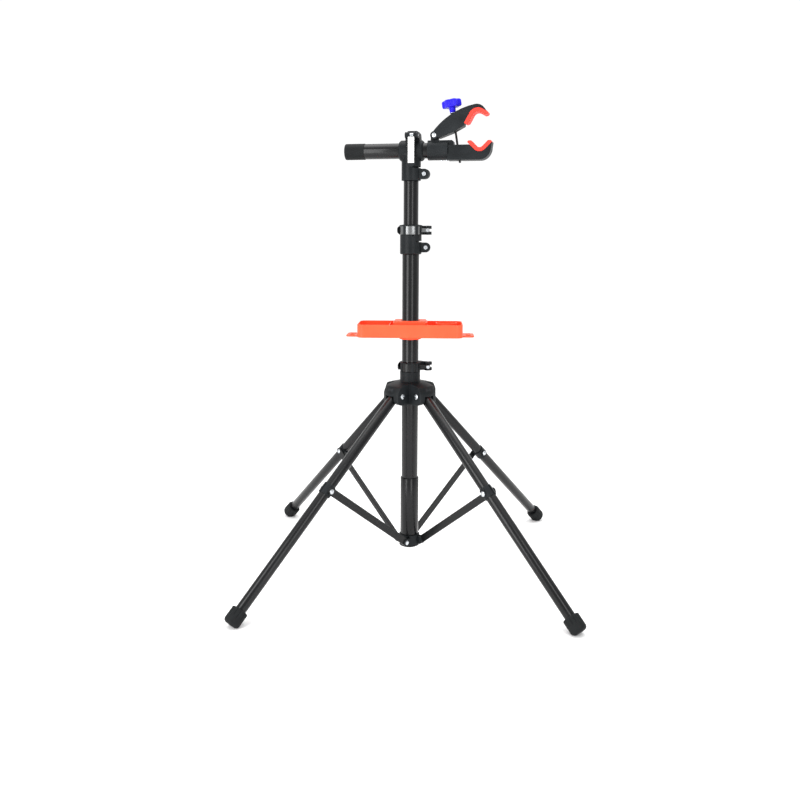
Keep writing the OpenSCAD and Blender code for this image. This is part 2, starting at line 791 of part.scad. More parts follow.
// Cam lever on the front of the head; it pinches the split block on the arm
module head_lever() {
    slot = eye_half + gap;
    color(plastic_black) arm_frame() translate([block_x, 0, 0]) difference() {
        union() {
            translate([0, lever_pin_y, lever_pin_z]) x_rod(lever_eye, -lever_w / 2, lever_w / 2);
            translate([-lever_w / 2, lever_y, lever_low]) cube([lever_w, lever_t, lever_pin_z - lever_low]);
            translate([0, lever_y + lever_t, lever_low]) rotate([90, 0, 0])
                cylinder(d = lever_w, h = lever_t);
        }
        translate([0, lever_pin_y, lever_pin_z]) x_rod(cam_pin_r + run_fit, -big, big);
        translate([0, lever_pin_y, lever_pin_z]) x_rod(eye_r + gap, -slot, slot);
        translate([-slot, lever_pin_y - 3.2, lever_pin_z - 9]) cube([2 * slot, 40, 40]);
        translate([-slot, lever_y - 1, lever_pin_z - 3.2]) cube([2 * slot, 60, 40]);
    }
}

// Blank plate let on to the front of the head lever
module head_label() {
    color(label_white) arm_frame() translate([block_x, 0, 0])
        translate([1.5 - lever_w / 2, lever_y - label_t, lever_low])
            cube([lever_w - 3, label_t, lever_pin_z - 4 - lever_low]);
}

module head_lever_pin() {
    color(zinc) arm_frame() translate([block_x, lever_pin_y, lever_pin_z])
        x_rod(cam_pin_r, -block_w / 2, block_w / 2);
}

// Eye bolt from the lever pin through the split block to a nut at the back
module head_eye_bolt() {
    color(zinc) arm_frame() translate([block_x, 0, lever_pin_z]) difference() {
        union() {
            translate([0, lever_pin_y, 0]) x_rod(eye_r, -eye_half, eye_half);
            y_rod(cam_pin_r, lever_pin_y, block_back + 4);
            y_rod(4.5, block_back, block_back + 4);
        }
        translate([0, lever_pin_y, 0]) x_rod(cam_pin_r, -10, 10);
    }
}

// ---- arm and clamp ------------------------------------------------------

module arm_tube() {
    color(tube_black) arm_frame() rotate([0, 90, 0])
        tube(arm_d / 2, tube_wall, -arm_back + 4, tube_stop);
}

// Soft grip on the free end of the arm
module arm_grip() {
    color(rubber_black) arm_frame() difference() {
        x_rod(arm_d / 2 + 0.8, -arm_back, -arm_back + grip_len);
        x_rod(arm_d / 2, -arm_back + 4, 0);
    }
}

// How far the arms of a vee rounded by r stand back from their own corner
function vee_drop(r) = r * (sqrt(2) - 1);

// Rounded vee with its lowest point at the origin; left and right are how far its arms reach
function vee_line(r, left, right) = concat([[-left, left - vee_drop(r)]],
    [for (a = [-45:7.5:45]) [r * sin(a), r - r * cos(a)]], [[right, right - vee_drop(r)]]);

// Outline of the lower jaw: flat back, round nose, and the seat of its pad
module lower_outline() {
    nose = [for (a = [0:9:90]) [jaw_out - jaw_nose[0] * (1 - sin(a)), jaw_low + jaw_nose[1] * (1 - cos(a))]];
    line = vee_line(lower_round, lower_lip, lower_arm);
    polygon(concat([[socket_out - 1, jaw_low]], nose,
        [for (i = [len(line) - 1:-1:0]) lower_vee + line[i]], [[socket_out - 1, jaw_high]]));
}

// Room for a swinging screw: leans are taken from the upright at `at`, the larger first
module screw_room(at, low, high, lean0, lean1) {
    polygon([for (p = [[low, lean0, screw_side], [low, lean1, -screw_side], [0, lean1, -screw_side],
        [0, lean0, -screw_side], [high, lean0, -screw_side], [high, lean1, screw_side],
        [0, lean1, screw_side], [0, lean0, screw_side]]) at + [p[2] - p[0] * tan(p[1]), p[0]]]);
}

// Socket on the arm, hinge ear and lower jaw in one moulding
module clamp_body() {
    color(plastic_black) arm_frame() difference() {
        union() {
            x_rod(socket_r, arm_front, socket_out);
            slab(-jaw_w / 2 - 1, jaw_w / 2 + 1) lower_outline();
            slab(-mount_w, mount_w) polygon([[arm_front, 0], [mount_out, 0], [mount_out, mount_top - 4],
                [mount_out - 3, mount_top], [arm_front, mount_top]]);
            slab(-ear_half, ear_half) {
                translate(pivot) circle(jaw_ear);
                translate([pivot[0] - jaw_ear, 0]) square([2 * jaw_ear, pivot[1]]);
            }
        }
        x_rod(arm_d / 2, 0, tube_stop);
        translate([pivot[0], 0, pivot[1]]) y_rod(pivot_r, -big, big);
        translate([screw_foot[0], 0, screw_foot[1]]) y_rod(trunnion_r + run_fit, -mount_w - 0.5, big);
        slab(-screw_side, screw_side) screw_room(screw_foot, -45, 45, screw_lean, screw_lean - screw_swing);
        for (x = grub_x) translate([arm_front + x, 0, -big]) cylinder(r = grub_r, h = big - 1);
    }
}

// Two grub screws that hold the socket on the arm
module socket_screws() {
    color(zinc) arm_frame() for (x = grub_x) translate([arm_front + x, 0, -socket_r - 1.5])
        cylinder(r = grub_r, h = socket_r + 1.5 - arm_d / 2);
}

// Bent strip that follows a jaw's vee, thinner at its ends
module vee_strip(r, left, right) {
    inner = r - pad_t;
    lip = pad_t / sqrt(8);
    polygon(concat(vee_line(r, left, right),
        [for (x = [1, 3]) [right - x * lip, right - vee_drop(r) + lip]],
        [for (a = [45:-7.5:-45]) [inner * sin(a), r - inner * cos(a)]],
        [for (x = [3, 1]) [x * lip - left, left - vee_drop(r) + lip]]));
}

module lower_pad() {
    color(pad_red) arm_frame() slab(-jaw_w / 2, jaw_w / 2)
        translate(lower_vee) vee_strip(lower_round, lower_arm, lower_arm);
}

// Point of the upper jaw's vee, from its own tilted frame
function upper_at(x, z) = upper_vee
    + [x * cos(upper_tilt) - z * sin(upper_tilt), x * sin(upper_tilt) + z * cos(upper_tilt)];

// Outline of the upper jaw: an arched back, a round beak and the seat of its pad
module upper_outline() {
    beak_c = back_c + (back_r - beak_r) * [cos(crown), sin(crown)];
    line = vee_line(upper_round, upper_arm[0], upper_arm[1]);
    polygon(concat(
        [for (i = [0:8]) let (a = back_foot + (crown - back_foot) * i / 8)
            back_c + back_r * [cos(a), sin(a)]],
        [for (i = [1:8]) let (a = crown + (beak_foot - crown) * i / 8)
            beak_c + beak_r * [cos(a), sin(a)]],
        [for (i = [len(line) - 1:-1:0]) upper_at(line[i][0], -line[i][1])],
        [pivot + [69, 19.5], pivot + [42.1, 5.1], pivot + [10.5, -6.1], pivot]));
}

// Child's +Z stands on the washer's seat, midway through the seat's swing
module seat_place() { translate([seat[0], 0, seat[1]]) rotate([0, -seat_lean, 0]) children(); }

module upper_jaw() {
    color(plastic_black) arm_frame() difference() {
        union() {
            slab(-jaw_w / 2 + 2, jaw_w / 2 - 2) {
                upper_outline();
                translate(pivot) circle(jaw_ear);
            }
            seat_place() translate([0, 0, -16]) cylinder(r = seat_rad, h = 16 - seat_gap);
        }
        seat_place() translate([0, 0, -seat_gap]) cylinder(r = seat_rad, h = 40);
        slab(-ear_half - gap, ear_half + gap) translate(pivot) {
            circle(jaw_ear + 1.5);
            for (a = [0, close_turn / 2, close_turn]) rotate(a)
                translate([-jaw_ear - gap, -60]) square([2 * (jaw_ear + gap), 60]);
        }
        translate([pivot[0], 0, pivot[1]]) y_rod(pivot_r + run_fit, -big, big);
        slab(-screw_side, screw_side)
            screw_room(seat, -70, 20, screw_lean + close_turn - screw_swing, screw_lean);
    }
}

module upper_pad() {
    color(pad_red) arm_frame() slab(-jaw_w / 2, jaw_w / 2)
        translate(upper_vee) rotate(upper_tilt) mirror([0, 1])
            vee_strip(upper_round, upper_arm[0], upper_arm[1]);
}

// Riveted pin through the body's ear that the upper jaw turns on
module jaw_pin() {
    color(zinc) arm_frame() translate([pivot[0], 0, pivot[1]]) {
        y_rod(pivot_r, gap - jaw_w / 2 + 1.4, jaw_w / 2 - 1.4 - gap);
        dome_head(5, jaw_w / 2 - 1.4 - gap, head_t);
        mirror([0, 1, 0]) dome_head(5, jaw_w / 2 - 1.4 - gap, head_t);
    }
}

// Child's +Z runs up the clamp screw from its trunnion
module screw_place() {
    translate([screw_foot[0], 0, screw_foot[1]]) rotate([0, -screw_lean, 0]) children();
}

// Screw with the cross trunnion that it swings on
module clamp_screw() {
    color(tube_black) arm_frame() screw_place() {
        translate([0, 0, -screw_tail])
            cylinder(d = screw_d, h = screw_tail + knob_reach + knob_stem + knob_h - 2);
        y_rod(trunnion_r, -mount_w, mount_w);
    }
}

// Domed washer between the knob and the upper jaw
module screw_washer() {
    color(zinc) arm_frame() screw_place() translate([0, 0, seat_reach]) difference() {
        intersection() {
            translate([0, 0, washer_dome]) sphere(washer_dome);
            cylinder(r = washer_r, h = washer_t);
        }
        translate([0, 0, -1]) cylinder(r = screw_d / 2 + run_fit, h = 10);
    }
}

// Star knob with a short stem
module knob() {
    color(knob_blue) arm_frame() screw_place() translate([0, 0, knob_reach]) difference() {
        union() {
            cylinder(d1 = stem_d[0], d2 = stem_d[1], h = knob_stem);
            translate([0, 0, knob_stem]) linear_extrude(knob_h) {
                circle(knob_d / 2 - 5);
                for (i = [0:knob_lobes - 1]) rotate(360 * i / knob_lobes)
                    translate([knob_d / 2 - lobe, 0]) circle(lobe);
            }
        }
        translate([0, 0, -1]) cylinder(r = screw_d / 2 + run_fit, h = 60);
    }
}

strut_collar();
strut_pins();
base_sleeve();
main_tube();
upper_collar();
upper_collar_bolt();
upper_clamp_band();
upper_clamp_bolt();
upper_clamp_lever();
hub();
leg_pins();
hub_clamp_band();
hub_clamp_bolt();
hub_clamp_lever();
leg(1);  // leg_1
leg(2);  // leg_2
leg(3);  // leg_3
leg(4);  // leg_4
foot(1);  // foot_1
foot(2);  // foot_2
foot(3);  // foot_3
foot(4);  // foot_4
strut_bracket(1);  // strut_bracket_1
strut_bracket(2);  // strut_bracket_2
strut_bracket(3);  // strut_bracket_3
strut_bracket(4);  // strut_bracket_4
bracket_bolt(1);  // bracket_bolt_1
bracket_bolt(2);  // bracket_bolt_2
bracket_bolt(3);  // bracket_bolt_3
bracket_bolt(4);  // bracket_bolt_4
strut(1);  // strut_1
strut(2);  // strut_2
strut(3);  // strut_3
strut(4);  // strut_4
strut_rivet(1);  // strut_rivet_1
strut_rivet(2);  // strut_rivet_2
strut_rivet(3);  // strut_rivet_3
strut_rivet(4);  // strut_rivet_4
tray_bush();
tray();
mast();
mast_bush();
head();
head_bolt();
head_lever();
head_label();
head_lever_pin();
head_eye_bolt();
arm_tube();
arm_grip();
clamp_body();
socket_screws();
lower_pad();
upper_jaw();
upper_pad();
jaw_pin();
clamp_screw();
screw_washer();
knob();
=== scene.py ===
"""Looks of a folding bicycle work stand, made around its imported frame.

Every sub-assembly is a class: its sizes are fields in millimetres, its methods work
out the surfaces with numpy and dress them in a finish. Places come from the packed
joints and node boxes. Meshes are in metres in the frame's own axes, so each finished
object stays at the origin.
"""

import json
import logging
import math
from dataclasses import dataclass, field
from enum import Enum
from typing import ClassVar

import bmesh
import bpy
import numpy as np
from mathutils import Matrix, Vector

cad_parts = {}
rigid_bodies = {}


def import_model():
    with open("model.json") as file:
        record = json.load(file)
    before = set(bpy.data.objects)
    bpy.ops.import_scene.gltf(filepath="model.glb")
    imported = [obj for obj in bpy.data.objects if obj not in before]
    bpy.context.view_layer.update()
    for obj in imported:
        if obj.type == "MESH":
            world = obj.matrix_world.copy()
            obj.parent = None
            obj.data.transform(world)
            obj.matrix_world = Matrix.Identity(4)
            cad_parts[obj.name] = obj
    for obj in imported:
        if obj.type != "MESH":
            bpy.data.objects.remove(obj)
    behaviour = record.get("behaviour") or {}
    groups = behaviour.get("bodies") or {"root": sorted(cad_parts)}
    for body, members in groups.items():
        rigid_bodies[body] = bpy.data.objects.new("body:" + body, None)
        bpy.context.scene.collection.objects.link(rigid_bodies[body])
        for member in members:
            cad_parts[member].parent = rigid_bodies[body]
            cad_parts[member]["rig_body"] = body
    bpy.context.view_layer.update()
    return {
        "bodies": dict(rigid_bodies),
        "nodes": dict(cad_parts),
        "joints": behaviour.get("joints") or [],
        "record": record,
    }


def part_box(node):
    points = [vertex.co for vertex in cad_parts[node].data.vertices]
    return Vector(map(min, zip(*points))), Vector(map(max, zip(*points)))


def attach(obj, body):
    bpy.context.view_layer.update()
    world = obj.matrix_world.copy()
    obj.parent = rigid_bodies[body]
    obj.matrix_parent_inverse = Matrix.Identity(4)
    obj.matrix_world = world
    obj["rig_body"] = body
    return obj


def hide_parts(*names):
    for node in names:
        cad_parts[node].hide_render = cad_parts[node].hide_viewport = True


log = logging.getLogger("work_stand")

MM = 0.001
FINE = 96  # points round a large tube
Array = np.ndarray


# ---- small helpers -------------------------------------------------------

def linear(code: str, alpha: float = 1.0) -> tuple[float, float, float, float]:
    """Turns an sRGB hex colour into linear light.

    Args:
        code: colour such as "#17191b".
        alpha: opacity put in the fourth place.

    Returns:
        Red, green, blue and alpha in linear light.
    """
    raw = [int(code[i:i + 2], 16) / 255 for i in (1, 3, 5)]
    out = [c / 12.92 if c <= 0.04045 else ((c + 0.055) / 1.055) ** 2.4 for c in raw]
    return (out[0], out[1], out[2], alpha)


def per_metre(size_mm: float) -> float:
    """Texture scale that gives features of a size in millimetres."""
    return 1.0 / (size_mm * MM)


def add(tree: bpy.types.NodeTree, kind: str, inputs: dict | None = None,
        **settings: object) -> bpy.types.Node:
    """Adds one node with its settings, values and links.

    Args:
        tree: the material's node tree.
        kind: the node's type name.
        inputs: socket name or number to a value or to another node's output socket.
        **settings: properties of the node itself.

    Returns:
        The new node.
    """
    node = tree.nodes.new(kind)
    for key, value in settings.items():
        setattr(node, key, value)
    for key, value in (inputs or {}).items():
        if isinstance(value, bpy.types.NodeSocket):
            tree.links.new(value, node.inputs[key])
        else:
            node.inputs[key].default_value = value
    return node


def unit(vector: Array) -> Array:
    """Vector scaled to length one."""
    return vector / np.linalg.norm(vector)


# ---- finishes --------------------------------------------------------------

class Slot(Enum):
    """Material slots of the record."""

    TUBE = "tube"
    STRUT = "strut_steel"
    PLASTIC = "black_plastic"
    RUBBER = "black_rubber"
    ZINC = "zinc"
    BAND = "band"
    TRAY = "tray_plastic"
    PAD = "pad_red"
    KNOB = "knob_blue"
    LABEL = "label"


@dataclass(frozen=True)
class Finish:
    """What every finish shares: a name, its slot and its main colours.

    Attributes:
        name: material name, after the real material and its process.
        slot: the record's slot.
        colour: main colour, sRGB hex.
        shade: second colour of the slow variation, sRGB hex.
        roughness: middle roughness.
        spread: how far roughness varies either way.
        grain_mm: size of the surface grain.
        grain_depth_mm: depth of the surface grain.
        patch_mm: size of the slow colour patches.
    """

    name: str
    slot: Slot
    colour: str
    shade: str
    roughness: float
    spread: float
    grain_mm: float
    grain_depth_mm: float
    patch_mm: float = 60.0

    def shader(self) -> dict[str, object]:
        """Values set straight on the shader's own sockets."""
        return {}

    def stretch(self) -> tuple[float, float, float]:
        """How the grain is squeezed along X, Y and Z."""
        return (1.0, 1.0, 1.0)

    def material(self) -> bpy.types.Material:
        """Builds the material once and gives it back on later calls.

        Returns:
            The node material.
        """
        known = bpy.data.materials.get(self.name)
        if known is not None:
            return known
        material = bpy.data.materials.new(self.name)
        material.use_nodes = True
        tree = material.node_tree
        tree.nodes.clear()
        place = add(tree, "ShaderNodeTexCoord").outputs["Object"]
        patch = add(tree, "ShaderNodeTexNoise", {"Vector": place, "Scale": per_metre(self.patch_mm),
                                                 "Detail": 4.0, "Roughness": 0.55}).outputs["Fac"]
        squeezed = add(tree, "ShaderNodeMapping", {"Vector": place, "Scale": self.stretch()})
        grain = add(tree, "ShaderNodeTexNoise",
                    {"Vector": squeezed.outputs["Vector"], "Scale": per_metre(self.grain_mm),
                     "Detail": 3.0, "Roughness": 0.6}).outputs["Fac"]
        colour = self.colour_nodes(tree, place, patch, grain)
        rough = add(tree, "ShaderNodeMapRange",
                    {"Value": add(tree, "ShaderNodeMath", {0: patch, 1: grain},
                                  operation="MULTIPLY").outputs[0],
                     "From Min": 0.1, "From Max": 0.45, "To Min": self.roughness - self.spread,
                     "To Max": self.roughness + self.spread}).outputs["Result"]
        rough = self.worn(tree, place, rough)
        bump = add(tree, "ShaderNodeBump",
                   {"Height": grain, "Strength": 1.0, "Distance": self.grain_depth_mm * MM})
        shader = add(tree, "ShaderNodeBsdfPrincipled",
                     {"Base Color": colour, "Roughness": rough, "Normal": bump.outputs["Normal"],
                      **self.shader()})
        add(tree, "ShaderNodeOutputMaterial", {"Surface": shader.outputs["BSDF"]})
        return material

    def colour_nodes(self, tree: bpy.types.NodeTree, place: bpy.types.NodeSocket,
                     patch: bpy.types.NodeSocket,
                     grain: bpy.types.NodeSocket) -> bpy.types.NodeSocket:
        """Blends the two colours by the slow patches.

        Args:
            tree: the material's node tree.
            place: object coordinates.
            patch: slow noise.
            grain: fine noise.

        Returns:
            The colour socket.
        """
        amount = add(tree, "ShaderNodeMapRange", {"Value": patch, "From Min": 0.3, "From Max": 0.7})
        mix = add(tree, "ShaderNodeMix", {"Factor": amount.outputs["Result"],
                                          "A": linear(self.colour), "B": linear(self.shade)},
                  data_type="RGBA")
        return mix.outputs["Result"]

    def worn(self, tree: bpy.types.NodeTree, place: bpy.types.NodeSocket,
             rough: bpy.types.NodeSocket) -> bpy.types.NodeSocket:
        """Roughness after wear; a plain finish has none."""
        return rough


def mix_colour(tree: bpy.types.NodeTree, factor: bpy.types.NodeSocket,
               first: bpy.types.NodeSocket, second: tuple) -> bpy.types.NodeSocket:
    """Mixes a fixed colour over another by a factor.

    Args:
        tree: the material's node tree.
        factor: zero keeps the first colour, one gives the second.
        first: colour socket underneath.
        second: linear colour on top.

    Returns:
        The mixed colour socket.
    """
    node = add(tree, "ShaderNodeMix", {"Factor": factor}, data_type="RGBA")
    tree.links.new(first, node.inputs["A"])
    node.inputs["B"].default_value = second
    return node.outputs["Result"]


@dataclass(frozen=True)
class PowderCoat(Finish):
    """Gloss black powder coat baked on drawn steel tube.

    The eye sees sharp lengthwise highlights, a faint orange peel and fine rub marks
    from parts that slide along the tube.
    """

    rub_mm: float = 1.2

    def shader(self) -> dict[str, object]:
        """A clear top layer gives the sharp highlight."""
        return {"Coat Weight": 0.2, "Coat Roughness": 0.12, "Specular IOR Level": 0.2}

    def worn(self, tree: bpy.types.NodeTree, place: bpy.types.NodeSocket,
             rough: bpy.types.NodeSocket) -> bpy.types.NodeSocket:
        """Adds faint rub marks that run up and down the tube.

        Args:
            tree: the material's node tree.
            place: object coordinates.
            rough: roughness so far.

        Returns:
            Roughness with rub marks.
        """
        drawn = add(tree, "ShaderNodeMapping", {"Vector": place, "Scale": (1.0, 1.0, 0.03)})
        marks = add(tree, "ShaderNodeTexNoise",
                    {"Vector": drawn.outputs["Vector"], "Scale": per_metre(self.rub_mm),
                     "Detail": 2.0}).outputs["Fac"]
        lift = add(tree, "ShaderNodeMapRange", {"Value": marks, "From Min": 0.62, "From Max": 0.75,
                                                "To Min": 0.0, "To Max": 0.12})
        return add(tree, "ShaderNodeMath", {0: rough, 1: lift.outputs["Result"]},
                   operation="ADD").outputs[0]


@dataclass(frozen=True)
class MouldedPlastic(Finish):
    """Injection moulded plastic with a spark-eroded grain.

    The eye sees a soft sheen, a painted highlight that lightens the outer edges and slow
    changes of tone where the melt cooled.
    """

    # edge and the amount below: colour and strength of a painted highlight on the outer edges
    edge: str = "#4a4e52"
    edge_highlight_amount: float = 0.5
    glow: float = 0.0
    shine: float = 0.14

    def shader(self) -> dict[str, object]:
        """Light scatters a little under a bright plastic."""
        return {"Subsurface Weight": self.glow, "Subsurface Scale": 0.002, "IOR": 1.5,
                "Specular IOR Level": self.shine}

    def colour_nodes(self, tree: bpy.types.NodeTree, place: bpy.types.NodeSocket,
                     patch: bpy.types.NodeSocket,
                     grain: bpy.types.NodeSocket) -> bpy.types.NodeSocket:
        """Paints a highlight on the outer edges, lightening them over the two base tones.

        Args:
            tree: the material's node tree.
            place: object coordinates.
            patch: slow noise.
            grain: fine noise.

        Returns:
            The colour socket.
        """
        base = super().colour_nodes(tree, place, patch, grain)
        # Painted highlight: pointiness picks out the outer edges, which are lightened towards the
        # edge colour and broken up by the slow patches
        point = add(tree, "ShaderNodeNewGeometry").outputs["Pointiness"]
        rim = add(tree, "ShaderNodeMapRange", {"Value": point, "From Min": 0.52, "From Max": 0.62,
                                               "To Max": self.edge_highlight_amount})
        edge_highlight_mask = add(tree, "ShaderNodeMath", {0: rim.outputs["Result"], 1: patch},
                     operation="MULTIPLY")
        return mix_colour(tree, edge_highlight_mask.outputs[0], base, linear(self.edge))


@dataclass(frozen=True)
class PlatedSteel(Finish):
    """Bright zinc plate on turned steel.

    The eye sees a cool grey metal with small cloudy patches and fine turning marks.
    """

    def shader(self) -> dict[str, object]:
        """Bare metal."""
        return {"Metallic": 1.0}


@dataclass(frozen=True)
class RolledStrip(PlatedSteel):
    """Cold rolled steel strip bent round a clamp, its rolling lines along the band."""

    def stretch(self) -> tuple[float, float, float]:
        """Rolling lines lie level, so the grain is fine only in height."""
        return (0.06, 0.06, 1.0)


TUBE = PowderCoat("powder_coated_steel_tube", Slot.TUBE, "#08090a", "#0c0d0f", 0.28, 0.05, 2.4,
                  0.012, 90.0)
# Satin paint on pressed strip: softer highlight than the tubes.
STRUT = PowderCoat("painted_pressed_steel", Slot.STRUT, "#090a0b", "#0d0f10", 0.42, 0.06, 1.6,
                   0.01, 70.0)
# The edge colours below paint a highlight onto the outer edges of each moulded part
PLASTIC = MouldedPlastic("moulded_glass_filled_nylon", Slot.PLASTIC, "#121517", "#181b1d", 0.45,
                         0.08, 0.9, 0.03, 30.0)
RUBBER = MouldedPlastic("moulded_rubber", Slot.RUBBER, "#121415", "#191b1c", 0.62, 0.1, 1.1, 0.04,
                        18.0, edge="#3a3c3d", edge_highlight_amount=0.6)
ZINC = PlatedSteel("bright_zinc_plated_steel", Slot.ZINC, "#d6d9dc", "#bcc1c6", 0.26, 0.08, 0.8,
                   0.006, 6.0)
BAND = RolledStrip("cold_rolled_steel_strip", Slot.BAND, "#7d7f80", "#6a6b6b", 0.34, 0.1, 0.5,
                   0.008, 12.0)
TRAY = MouldedPlastic("moulded_polypropylene", Slot.TRAY, "#ff5a38", "#fb4f2e", 0.38, 0.06, 0.8,
                      0.02, 60.0, edge="#ff8a6a", edge_highlight_amount=0.5, glow=0.08)
PAD = MouldedPlastic("moulded_soft_elastomer", Slot.PAD, "#fb3f34", "#f5352a", 0.48, 0.08, 0.9,
                     0.03, 16.0, edge="#ff7a6c", edge_highlight_amount=0.5, glow=0.05)
KNOB = MouldedPlastic("moulded_abs", Slot.KNOB, "#2a1fd6", "#2318c4", 0.34, 0.06, 0.7, 0.012,
                      20.0, edge="#5c56ea", edge_highlight_amount=0.6)
LABEL = MouldedPlastic("blank_polystyrene_plate", Slot.LABEL, "#f4f4f2", "#ecece9", 0.33, 0.05,
                       0.9, 0.006, 14.0, edge="#ffffff", edge_highlight_amount=0.3)

SLOT_FINISH = {f.slot.value: f for f in (TUBE, STRUT, PLASTIC, RUBBER, ZINC, BAND, TRAY, PAD,
                                         KNOB, LABEL)}


# ---- surfaces --------------------------------------------------------------

def grid_quads(rows: int, cols: int, close_rows: bool, close_cols: bool) -> Array:
    """Quads of a grid whose point (i, j) has number i * cols + j.

    Args:
        rows: number of rows.
        cols: number of columns.
        close_rows: joins the last row to the first.
        close_cols: joins the last column to the first.

    Returns:
        One row of four point numbers for each quad.
    """
    i = np.arange(rows if close_rows else rows - 1)
    j = np.arange(cols if close_cols else cols - 1)
    i, j = [a.ravel() for a in np.meshgrid(i, j, indexing="ij")]
    i1, j1 = (i + 1) % rows, (j + 1) % cols
    return np.stack([i * cols + j, i * cols + j1, i1 * cols + j1, i1 * cols + j], axis=1)


@dataclass
class Surface:
    """Points in millimetres with faces of any length."""

    points: Array
    faces: list[list[int]]

    def joined(self, other: "Surface") -> "Surface":
        """This surface with another beside it."""
        shift = len(self.points)
        moved = [[n + shift for n in face] for face in other.faces]
        return Surface(np.vstack([self.points, other.points]), self.faces + moved)


def skin(grid: Array, close_rows: bool = False, caps: bool = True) -> Surface:
    """Closed skin over a grid of points whose columns go once round.

    Args:
        grid: points, rows by columns by three, in millimetres.
        close_rows: joins the last row to the first, as on a tube with a bore.
        caps: closes the first and last row with one face each.

    Returns:
        The surface.
    """
    rows, cols = grid.shape[:2]
    faces = grid_quads(rows, cols, close_rows, True).tolist()
    if caps and not close_rows:
        faces.append(list(range(cols - 1, -1, -1)))
        faces.append([(rows - 1) * cols + j for j in range(cols)])
    return Surface(grid.reshape(-1, 3), faces)


@dataclass(frozen=True)
class Axes:
    """A place in the frame: an origin and three directions, in millimetres."""

    origin: Array
    x: Array
    y: Array
    z: Array

    def place(self, local: Array) -> Array:
        """Local points put into the frame.

        Args:
            local: points with their last axis holding x, y and z.

        Returns:
            origin + x * X + y * Y + z * Z for each point.
        """
        return self.origin + local @ np.stack([self.x, self.y, self.z])

    def at(self, x: float, y: float, z: float) -> "Axes":
        """The same directions from another local point."""
        return Axes(self.place(np.array([x, y, z], float)), self.x, self.y, self.z)

    def leaning(self, angle: float) -> "Axes":
        """The axes turned about their own Y, so that Z leans towards X by an angle in degrees."""
        c, s = math.cos(math.radians(angle)), math.sin(math.radians(angle))
        return Axes(self.origin, c * self.x - s * self.z, self.y, s * self.x + c * self.z)

    def along_x(self) -> "Axes":
        """The axes renamed so that Z runs along X."""
        return Axes(self.origin, self.y, self.z, self.x)

    def along_y(self) -> "Axes":
        """The axes renamed so that Z runs along Y."""
        return Axes(self.origin, self.z, self.x, self.y)


WORLD = Axes(np.zeros(3), np.array([1.0, 0, 0]), np.array([0, 1.0, 0]), np.array([0, 0, 1.0]))


def turned(axes: Axes, profile: list[tuple[float, float]], close: bool = False,
           sides: int = 72, reach: Array | None = None) -> Surface:
    """Surface of revolution: the point at angle a of profile row (r, h) is (r cos a, r sin a, h).

    Args:
        axes: where the axis of revolution stands; it is Z.
        profile: radius and height of each row, going up the outside.
        close: joins the last row to the first, for a wall with a bore.
        sides: number of points round.
        reach: factor on the radius for each row and angle, for flutes or lobes.

    Returns:
        The surface.
    """
    rows = np.array(profile, float)
    angle = np.linspace(0, 2 * np.pi, sides, endpoint=False)
    radius = rows[:, :1] * (np.ones((len(rows), sides)) if reach is None else reach)
    local = np.stack([radius * np.cos(angle), radius * np.sin(angle),
                      np.repeat(rows[:, 1:], sides, axis=1)], axis=2)
    return skin(axes.place(local), close)


def pipe_profile(outer: float, inner: float, low: float, high: float,
                 lip: float = 0.35) -> list[tuple[float, float]]:
    """Wall of a tube with lightly rounded rims, going round the wall once.

    Args:
        outer: outside radius.
        inner: inside radius.
        low: height of the lower rim.
        high: height of the upper rim.
        lip: radius on each rim edge.

    Returns:
        Radius and height of each profile point.
    """
    k = lip * 0.3
    return [(outer - lip, low), (outer - k, low + k), (outer, low + lip), (outer, high - lip),
            (outer - k, high - k), (outer - lip, high), (inner + lip, high),
            (inner + k, high - k), (inner, high - lip), (inner, low + lip),
            (inner + k, low + k), (inner + lip, low)]


# ---- pieces ----------------------------------------------------------------

